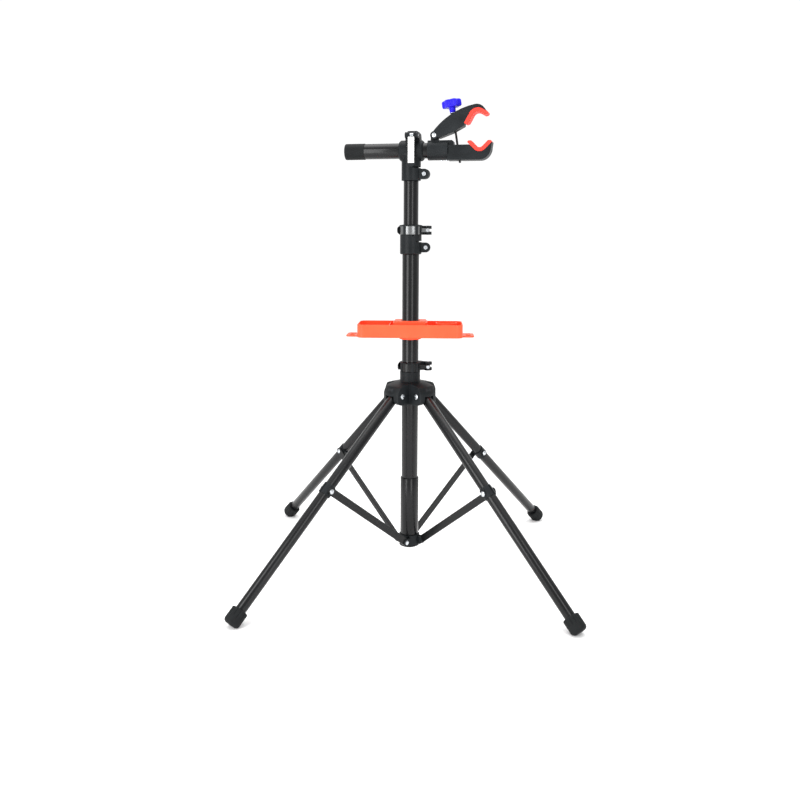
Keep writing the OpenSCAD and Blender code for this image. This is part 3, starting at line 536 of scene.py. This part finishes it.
@dataclass
class Maker:
    """Turns surfaces and CAD nodes into finished pieces.

    The named numbers are for eased copies: points closer than the weld are merged,
    faces within the flat angle are joined, and edges past the crisp angle are eased.
    """

    WELD_MM: ClassVar[float] = 0.02
    SLIVER_MM: ClassVar[float] = 0.01
    FLAT_DEG: ClassVar[float] = 0.3
    CRISP_DEG: ClassVar[float] = 34
    EASE_STEPS: ClassVar[int] = 2
    NORMAL_WEIGHT: ClassVar[int] = 50

    frame: dict
    made: list[bpy.types.Object] = field(default_factory=list)

    def piece(self, name: str, surface: Surface, finish: Finish, body: str,
              nodes: tuple[str, ...], smooth_angle: float = 40.0) -> bpy.types.Object:
        """Makes one object from a surface.

        Args:
            name: name of the piece.
            surface: points in millimetres and faces.
            finish: what it is made of.
            body: CAD body that it rides on.
            nodes: CAD nodes that it stands for.
            smooth_angle: edges sharper than this stay crisp, in degrees.

        Returns:
            The finished object.
        """
        mesh = bpy.data.meshes.new(name)
        mesh.from_pydata((surface.points * MM).tolist(), [], surface.faces)
        mesh.update()
        self.smooth(mesh, smooth_angle)
        return self.finished(name, mesh, finish, body, nodes)

    def smooth(self, mesh: bpy.types.Mesh, angle: float) -> None:
        """Shades a mesh smooth and marks its sharp edges.

        Args:
            mesh: the mesh.
            angle: sharpest angle that stays smooth, in degrees.
        """
        bm = bmesh.new()
        bm.from_mesh(mesh)
        bmesh.ops.recalc_face_normals(bm, faces=bm.faces)
        limit = math.radians(angle)
        for face in bm.faces:
            face.smooth = True
        for edge in bm.edges:
            edge.smooth = len(edge.link_faces) == 2 and edge.calc_face_angle(0.0) < limit
        bm.to_mesh(mesh)
        bm.free()

    def finished(self, name: str, mesh: bpy.types.Mesh, finish: Finish, body: str,
                 nodes: tuple[str, ...]) -> bpy.types.Object:
        """Links a mesh as a piece, dresses it and puts it on its body.

        Args:
            name: name of the piece.
            mesh: its mesh, in metres.
            finish: what it is made of.
            body: CAD body that it rides on.
            nodes: CAD nodes that it stands for.

        Returns:
            The object.
        """
        piece = bpy.data.objects.new(name, mesh)
        bpy.context.scene.collection.objects.link(piece)
        mesh.materials.clear()
        mesh.materials.append(finish.material())
        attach(piece, body)
        if nodes:
            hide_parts(*nodes)
        self.made.append(piece)
        log.info("%s: %d faces, %s, on %s", name, len(mesh.polygons), finish.name, body)
        return piece

    def eased(self, node: str, finish: Finish, radius_mm: float) -> bpy.types.Object:
        """Copies a CAD node and eases its sharp edges, as a mould or a tumbler leaves them.

        Args:
            node: the CAD node.
            finish: what it is made of.
            radius_mm: width of the eased edge.

        Returns:
            The finished object.
        """
        source = self.frame["nodes"][node]
        mesh = source.data.copy()
        bm = bmesh.new()
        bm.from_mesh(mesh)
        bmesh.ops.remove_doubles(bm, verts=bm.verts, dist=self.WELD_MM * MM)
        bmesh.ops.dissolve_degenerate(bm, edges=bm.edges, dist=self.SLIVER_MM * MM)
        bmesh.ops.dissolve_limit(bm, angle_limit=math.radians(self.FLAT_DEG),
                                 verts=bm.verts, edges=bm.edges)
        for face in bm.faces:
            face.smooth = True
        bm.to_mesh(mesh)
        bm.free()
        piece = self.finished(node + "_eased", mesh, finish, source["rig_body"], (node,))
        ease = piece.modifiers.new("eased_edges", "BEVEL")
        ease.width = radius_mm * MM
        ease.segments = self.EASE_STEPS
        ease.limit_method = "ANGLE"
        ease.angle_limit = math.radians(self.CRISP_DEG)
        ease.use_clamp_overlap = False
        ease.miter_outer = "MITER_ARC"
        even = piece.modifiers.new("even_normals", "WEIGHTED_NORMAL")
        even.mode = "FACE_AREA"
        even.weight = self.NORMAL_WEIGHT
        return piece

    def plain(self, nodes: list[str]) -> None:
        """Gives the CAD nodes that stay the finish of their slot."""
        slots = {s["node"]: s["material_slot"] for s in self.frame["record"]["subparts"]}
        for node in nodes:
            mesh = self.frame["nodes"][node].data
            mesh.materials.clear()
            mesh.materials.append(SLOT_FINISH[slots[node]].material())


@dataclass(frozen=True)
class SoftBox:
    """One studio lamp: place and aim in metres, width and height in metres, watts."""

    name: str
    place: tuple[float, float, float]
    aim: tuple[float, float, float]
    size: tuple[float, float]
    power: float


SOFT_BOXES = (
    SoftBox("soft_box_left", (-1.6, -1.75, 1.1), (0, 0, 0.6), (1.0, 2.2), 40),
    SoftBox("soft_box_right", (0.95, -2.0, 1.1), (0, 0, 0.6), (0.55, 2.2), 18),
    SoftBox("soft_box_top", (0, 0.2, 2.8), (0, 0, 0.5), (2.4, 1.6), 26),
)


@dataclass
class Stage:
    """Pale floor, soft studio light and the camera."""

    floor_size: float = 60.0
    camera_place: tuple[float, float, float] = (0.0569, -2.0252, 0.8252)
    heading_deg: float = 2.3
    pitch_deg: float = 11.09
    roll_deg: float = 0.18
    focal_mm: float = 37.88
    sensor_mm: float = 36.0
    view_reach: float = 200.0
    near_sky: float = 0.72
    far_sky: float = 1.05
    overhead_power: float = 1.1
    overhead_spread: float = 80.0

    def camera(self) -> None:
        """Creates the camera: heading turns it left of +Y, pitch tips it down."""
        h, p, r = (math.radians(a) for a in (self.heading_deg, self.pitch_deg, self.roll_deg))
        forward = np.array([-math.sin(h) * math.cos(p), math.cos(h) * math.cos(p), -math.sin(p)])
        right = np.array([math.cos(h), math.sin(h), 0.0])
        up = np.cross(right, forward)
        tilted_right = right * math.cos(r) + up * math.sin(r)
        tilted_up = up * math.cos(r) - right * math.sin(r)
        data = bpy.data.cameras.new("camera")
        data.lens = self.focal_mm
        data.sensor_width = self.sensor_mm
        data.clip_end = self.view_reach
        camera = bpy.data.objects.new("camera", data)
        bpy.context.scene.collection.objects.link(camera)
        matrix = np.eye(4)
        matrix[:3, :3] = np.stack([tilted_right, tilted_up, -forward], axis=1)
        matrix[:3, 3] = self.camera_place
        camera.matrix_world = Matrix(matrix.tolist())
        bpy.context.scene.camera = camera

    def lamp(self, box: SoftBox) -> None:
        """Adds one soft box.

        Args:
            box: the lamp's name, place, aim, size and power.
        """
        data = bpy.data.lights.new(box.name, "AREA")
        data.shape = "RECTANGLE"
        data.size, data.size_y = box.size
        data.energy = box.power
        lamp = bpy.data.objects.new(box.name, data)
        bpy.context.scene.collection.objects.link(lamp)
        away = unit(np.array(box.place) - np.array(box.aim))
        side = unit(np.cross([0, 0, 1.0], away))
        matrix = np.eye(4)
        matrix[:3, :3] = np.stack([side, np.cross(away, side), away], axis=1)
        matrix[:3, 3] = box.place
        lamp.matrix_world = Matrix(matrix.tolist())

    def overhead(self) -> None:
        """Adds a broad even light from straight above, so that the floor stays pale all over."""
        data = bpy.data.lights.new("overhead", "SUN")
        data.energy = self.overhead_power
        data.angle = math.radians(self.overhead_spread)
        bpy.context.scene.collection.objects.link(bpy.data.objects.new("overhead", data))

    def floor(self) -> None:
        """Lays a plain pale floor."""
        half = self.floor_size / 2
        mesh = bpy.data.meshes.new("floor")
        mesh.from_pydata([(-half, -half, 0), (half, -half, 0), (half, half, 0), (-half, half, 0)],
                         [], [(0, 1, 2, 3)])
        floor = bpy.data.objects.new("floor", mesh)
        bpy.context.scene.collection.objects.link(floor)
        material = bpy.data.materials.new("pale_studio_floor")
        material.use_nodes = True
        shader = material.node_tree.nodes["Principled BSDF"]
        shader.inputs["Base Color"].default_value = linear("#fafafa")
        shader.inputs["Roughness"].default_value = 0.9
        shader.inputs["Specular IOR Level"].default_value = 0.1
        mesh.materials.append(material)

    def sky(self) -> None:
        """Soft white all round, dimmer on the side that the camera looks from."""
        world = bpy.data.worlds.new("soft_white")
        world.use_nodes = True
        tree = world.node_tree
        way = add(tree, "ShaderNodeSeparateXYZ",
                  {"Vector": add(tree, "ShaderNodeTexCoord").outputs["Generated"]}).outputs["Y"]
        level = add(tree, "ShaderNodeMapRange",
                    {"Value": way, "From Min": -0.3, "From Max": 0.5,
                     "To Min": self.near_sky, "To Max": self.far_sky},
                    interpolation_type="SMOOTHSTEP").outputs["Result"]
        sky = tree.nodes["Background"]
        sky.inputs["Color"].default_value = (1.0, 1.0, 1.0, 1.0)
        tree.links.new(level, sky.inputs["Strength"])
        bpy.context.scene.world = world

    def build(self) -> None:
        """Makes the camera, the lamps, the sky and the floor."""
        self.camera()
        bpy.context.scene.view_settings.view_transform = "Standard"
        self.sky()
        for box in SOFT_BOXES:
            self.lamp(box)
        self.overhead()
        self.floor()
        log.info("stage ready")


# ---- sub-assemblies --------------------------------------------------------

@dataclass
class Legs:
    """Four splayed tube legs with their feet, saddles and struts."""

    maker: Maker
    lean: float = 47.4
    tube_d: float = 25.0
    wall: float = 1.5
    tail: float = 6.0
    tube_end: float = 640.0
    foot_top: float = 610.0
    foot_low: float = 648.0
    foot_r: float = 19.0
    flutes: int = 12
    flute_depth: float = 0.09
    flute_run: float = 23.0
    flute_fade: float = 7.0
    toe_round: float = 9.0
    sides: int = 144

    def axes(self, k: int) -> Axes:
        """Place of leg k: its hinge, Z down the leg and Y along the hinge.

        Args:
            k: number of the leg, from one.

        Returns:
            The leg's own axes.
        """
        joint = next(j for j in self.maker.frame["joints"] if j["name"] == f"leg_{k}_fold")
        around = math.radians(45 + 90 * (k - 1))
        out = np.array([math.cos(around), math.sin(around), 0.0])
        side = np.array([-math.sin(around), math.cos(around), 0.0])
        base = Axes(np.array(joint["pos_m"]) / MM, out, side, np.array([0, 0, 1.0]))
        return base.leaning(180 - self.lean)

    def foot(self, axes: Axes) -> Surface:
        """Rubber cap: the radius at angle a is that of its profile less a flute's hollow.

        The hollow is a power of a cosine round the cap and fades out half way down. What
        would lie under the floor is pressed flat on it.

        Args:
            axes: the leg's axes.

        Returns:
            The surface.
        """
        top, low, r = self.foot_top, self.foot_low, self.foot_r
        bore = self.tube_d / 2
        arc = np.radians(np.linspace(0, 90, 9))
        toe = self.toe_round
        wall = np.linspace(top + 3, low - toe, 15)
        profile = [(0.0, self.tube_end), (bore, self.tube_end), (bore, top + 0.6),
                   (bore + 0.6, top), (r - 4.2, top), (r - 2.2, top + 0.5), (r - 0.7, top + 1.6)]
        profile += [(r, h) for h in wall]
        profile += [(r - toe + toe * math.cos(a), low - toe + toe * math.sin(a))
                    for a in arc[1:]]
        profile += [(r * 0.35, low + 0.2), (0.0, low + 0.3)]
        rows = np.array(profile)
        angle = np.linspace(0, 2 * np.pi, self.sides, endpoint=False)
        hollow = np.clip(np.cos(self.flutes * angle), 0, 1) ** 1.5
        outside = np.arange(len(rows)) > 3
        fade = np.clip((top + self.flute_run - rows[:, 1]) / self.flute_fade, 0, 1) * outside
        reach = 1 - self.flute_depth * fade[:, None] * hollow[None, :]
        surface = turned(axes, profile, sides=self.sides, reach=reach)
        surface.points[:, 2] = np.maximum(surface.points[:, 2], 0.0)
        return surface

    def build(self) -> None:
        """Makes every leg with what is on it."""
        for k in range(1, 5):
            axes = self.axes(k)
            body = f"leg_{k}"
            tube = turned(axes, pipe_profile(self.tube_d / 2, self.tube_d / 2 - self.wall,
                                             -self.tail, self.tube_end), close=True)
            self.maker.piece(f"leg_tube_{k}", tube, TUBE, body, (f"leg_{k}",))
            self.maker.piece(f"rubber_foot_{k}", self.foot(axes), RUBBER, body, (f"foot_{k}",))
            self.maker.eased(f"strut_bracket_{k}", PLASTIC, 0.5)
            self.maker.eased(f"bracket_bolt_{k}", ZINC, 0.25)
            self.maker.eased(f"strut_{k}", STRUT, 0.5)
            self.maker.eased(f"strut_rivet_{k}", ZINC, 0.25)


@dataclass
class Post:
    """Base collar, sleeve, main tube and the pinch collar with its clamp."""

    maker: Maker
    tube_r: float = 20.0
    sleeve_r: float = 22.5
    wall: float = 1.5

    def build(self) -> None:
        """Makes the fixed post."""
        low, high = (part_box("main_tube")[i].z / MM for i in (0, 1))
        self.maker.piece("main_tube_coated", turned(WORLD, pipe_profile(
            self.tube_r, self.tube_r - self.wall, low, high), close=True, sides=FINE), TUBE, "post",
            ("main_tube",))
        low, high = (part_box("base_sleeve")[i].z / MM for i in (0, 1))
        self.maker.piece("base_sleeve_coated", turned(WORLD, pipe_profile(
            self.sleeve_r, self.tube_r, low, high, 0.7), close=True, sides=FINE), TUBE, "post",
            ("base_sleeve",))
        self.maker.eased("strut_collar", PLASTIC, 0.6)
        self.maker.eased("strut_pins", ZINC, 0.25)
        self.maker.eased("upper_collar", PLASTIC, 0.6)
        self.maker.eased("upper_collar_bolt", ZINC, 0.3)
        self.maker.eased("upper_clamp_band", BAND, 0.2)
        self.maker.eased("upper_clamp_bolt", ZINC, 0.25)
        self.maker.eased("upper_clamp_lever", PLASTIC, 0.8)


@dataclass
class Hub:
    """Sliding hub, its rivets and its clamp."""

    maker: Maker

    def build(self) -> None:
        """Makes the hub."""
        self.maker.eased("hub", PLASTIC, 0.8)
        self.maker.eased("leg_pins", ZINC, 0.25)
        self.maker.eased("hub_clamp_band", STRUT, 0.2)
        self.maker.eased("hub_clamp_bolt", ZINC, 0.25)
        self.maker.eased("hub_clamp_lever", PLASTIC, 0.8)


@dataclass
class Tray:
    """Moulded tool tray on its split bush."""

    maker: Maker

    def build(self) -> None:
        """Makes the tray."""
        self.maker.eased("tray_bush", PLASTIC, 0.3)
        self.maker.eased("tray", TRAY, 0.6)


@dataclass
class Mast:
    """Inner tube that slides in the post."""

    maker: Maker
    tube_r: float = 17.5
    wall: float = 1.5

    def build(self) -> None:
        """Makes the mast and its guide bush."""
        low, high = (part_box("mast")[i].z / MM for i in (0, 1))
        self.maker.piece("mast_coated", turned(WORLD, pipe_profile(
            self.tube_r, self.tube_r - self.wall, low, high), close=True, sides=FINE), TUBE, "mast",
            ("mast",))
        self.maker.plain(["mast_bush"])


@dataclass
class Head:
    """Cast tee with its cam lever and bolts."""

    maker: Maker

    def build(self) -> None:
        """Makes the head."""
        self.maker.eased("head", PLASTIC, 0.9)
        self.maker.eased("head_bolt", ZINC, 0.3)
        self.maker.eased("head_lever", PLASTIC, 0.6)
        self.maker.eased("head_label", LABEL, 0.2)
        self.maker.eased("head_lever_pin", ZINC, 0.25)
        self.maker.eased("head_eye_bolt", ZINC, 0.25)


@dataclass
class Arm:
    """Turning arm with its grip, clamp body, jaws, screw and knob."""

    maker: Maker
    tube_r: float = 17.5
    wall: float = 1.5
    tube_back: float = -153.5
    tube_front: float = 82.0
    grip_r: float = 18.3
    grip_back: float = -157.5
    grip_front: float = -109.5
    foot_x: float = 110.15
    foot_z: float = -3.0
    screw_lean: float = 9.3
    screw_r: float = 2.75
    screw_low: float = -25.7
    screw_high: float = 112.7
    pitch: float = 1.25
    thread_depth: float = 0.35
    trunnion_r: float = 5.5
    trunnion_half: float = 12.0
    knob_low: float = 86.5
    stem_high: float = 11.2
    knob_r: float = 22.5
    knob_high: float = 28.2
    knob_bore: float = 2.83
    lobes: int = 6
    lobe_share: float = 0.11

    def axes(self) -> Axes:
        """Place of the arm: X out along it to the clamp and Z up."""
        joint = next(j for j in self.maker.frame["joints"] if j["name"] == "arm_turn")
        along = unit(np.array(joint["axis"], float))
        up = np.array([0, 0, 1.0])
        return Axes(np.array(joint["pos_m"]) / MM, along, np.cross(up, along), up)

    def grip(self, axes: Axes) -> Surface:
        """Cap pushed over the free end: a blind sleeve with a soft rounded end.

        Args:
            axes: the arm's axes with Z along the arm.

        Returns:
            The surface.
        """
        r, back, front = self.grip_r, self.grip_back, self.grip_front
        profile = [(0.0, back), (r - 3, back), (r - 1, back + 0.6), (r - 0.2, back + 2),
                   (r, back + 3.5)]
        profile += [(r, h) for h in np.linspace(back + 6, front - 2, 12)]
        profile += [(r - 0.1, front - 0.6), (r - 0.5, front), (self.tube_r, front),
                    (self.tube_r, self.tube_back), (0.0, self.tube_back)]
        return turned(axes, profile)

    def screw(self, axes: Axes) -> Surface:
        """Threaded rod with its cross trunnion.

        The radius at angle a and height h is the rod's radius less a triangle wave of
        h / pitch - a / 360, so the ridge climbs one pitch in each turn.

        Args:
            axes: the screw's axes.

        Returns:
            The surface.
        """
        sides = 32
        height = np.arange(self.screw_low, self.screw_high + 0.01, self.pitch / 6)
        angle = np.linspace(0, 1, sides, endpoint=False)
        wave = np.abs(((height[:, None] / self.pitch - angle[None, :]) % 1) * 2 - 1)
        ends = np.clip(np.minimum(height - height[0], height[-1] - height) / self.pitch, 0, 1)
        reach = 1 - self.thread_depth / self.screw_r * (1 - (1 - wave) * ends[:, None])
        rod = turned(axes, [(self.screw_r, h) for h in height], sides=sides, reach=reach)
        r, half = self.trunnion_r, self.trunnion_half
        cross = turned(axes.along_y(), [(r - 0.5, -half), (r, 0.5 - half), (r, half - 0.5),
                                        (r - 0.5, half)], sides=48)
        return rod.joined(cross)

    def knob(self, axes: Axes) -> Surface:
        """Star knob: the radius of its head at angle a is r less a share of 1 - cos(lobes * a).

        Args:
            axes: the screw's axes.

        Returns:
            The surface.
        """
        r, stem, top, bore = self.knob_r, self.stem_high, self.knob_high, self.knob_bore
        foot = [(bore, 0.0), (6.1, 0.0), (6.5, 0.4), (7.9, stem - 0.6), (9.0, stem)]
        head = [(r - 5, stem), (r - 2.2, stem + 0.5), (r - 0.7, stem + 1.8), (r, stem + 4),
                (r, top - 4.5), (r - 0.6, top - 2.4), (r - 2.2, top - 0.9), (r - 5, top - 0.1),
                (r - 8, top)]
        rim = [(6.0, top), (5.4, top - 0.8), (bore, top - 0.8)]
        profile = [(q, h + self.knob_low) for q, h in foot + head + rim]
        sides = 144
        angle = np.linspace(0, 2 * np.pi, sides, endpoint=False)
        lobed = np.zeros((len(profile), 1))
        lobed[len(foot):len(foot) + len(head)] = self.lobe_share
        reach = 1 - lobed * (1 - np.cos(self.lobes * angle))[None, :]
        return turned(axes, profile, close=True, sides=sides, reach=reach)

    def build(self) -> None:
        """Makes the arm and the clamp."""
        axes = self.axes()
        along = axes.along_x()
        tube = turned(along, pipe_profile(self.tube_r, self.tube_r - self.wall, self.tube_back,
                                          self.tube_front), close=True, sides=FINE)
        self.maker.piece("arm_tube_coated", tube, TUBE, "arm", ("arm_tube",))
        self.maker.piece("arm_grip_moulded", self.grip(along), RUBBER, "arm", ("arm_grip",))
        screw_axes = axes.at(self.foot_x, 0, self.foot_z).leaning(-self.screw_lean)
        self.maker.piece("clamp_screw_threaded", self.screw(screw_axes), STRUT, "clamp_screw",
                         ("clamp_screw",))
        self.maker.piece("star_knob", self.knob(screw_axes), KNOB, "knob", ("knob",), 50.0)
        self.maker.eased("clamp_body", PLASTIC, 0.9)
        self.maker.eased("socket_screws", ZINC, 0.2)
        self.maker.eased("lower_pad", PAD, 1.0)
        self.maker.eased("upper_jaw", PLASTIC, 0.9)
        self.maker.eased("upper_pad", PAD, 1.0)
        self.maker.eased("jaw_pin", ZINC, 0.25)
        self.maker.eased("screw_washer", ZINC, 0.2)


def main() -> None:
    """Builds the stage and every sub-assembly."""
    logging.basicConfig(level=logging.INFO, format="%(name)s %(message)s")
    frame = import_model()
    Stage().build()
    maker = Maker(frame)
    for part in (Legs(maker), Post(maker), Hub(maker), Tray(maker), Mast(maker), Head(maker),
                 Arm(maker)):
        part.build()
    log.info("%d pieces", len(maker.made))


if __name__ == "__main__":
    main()
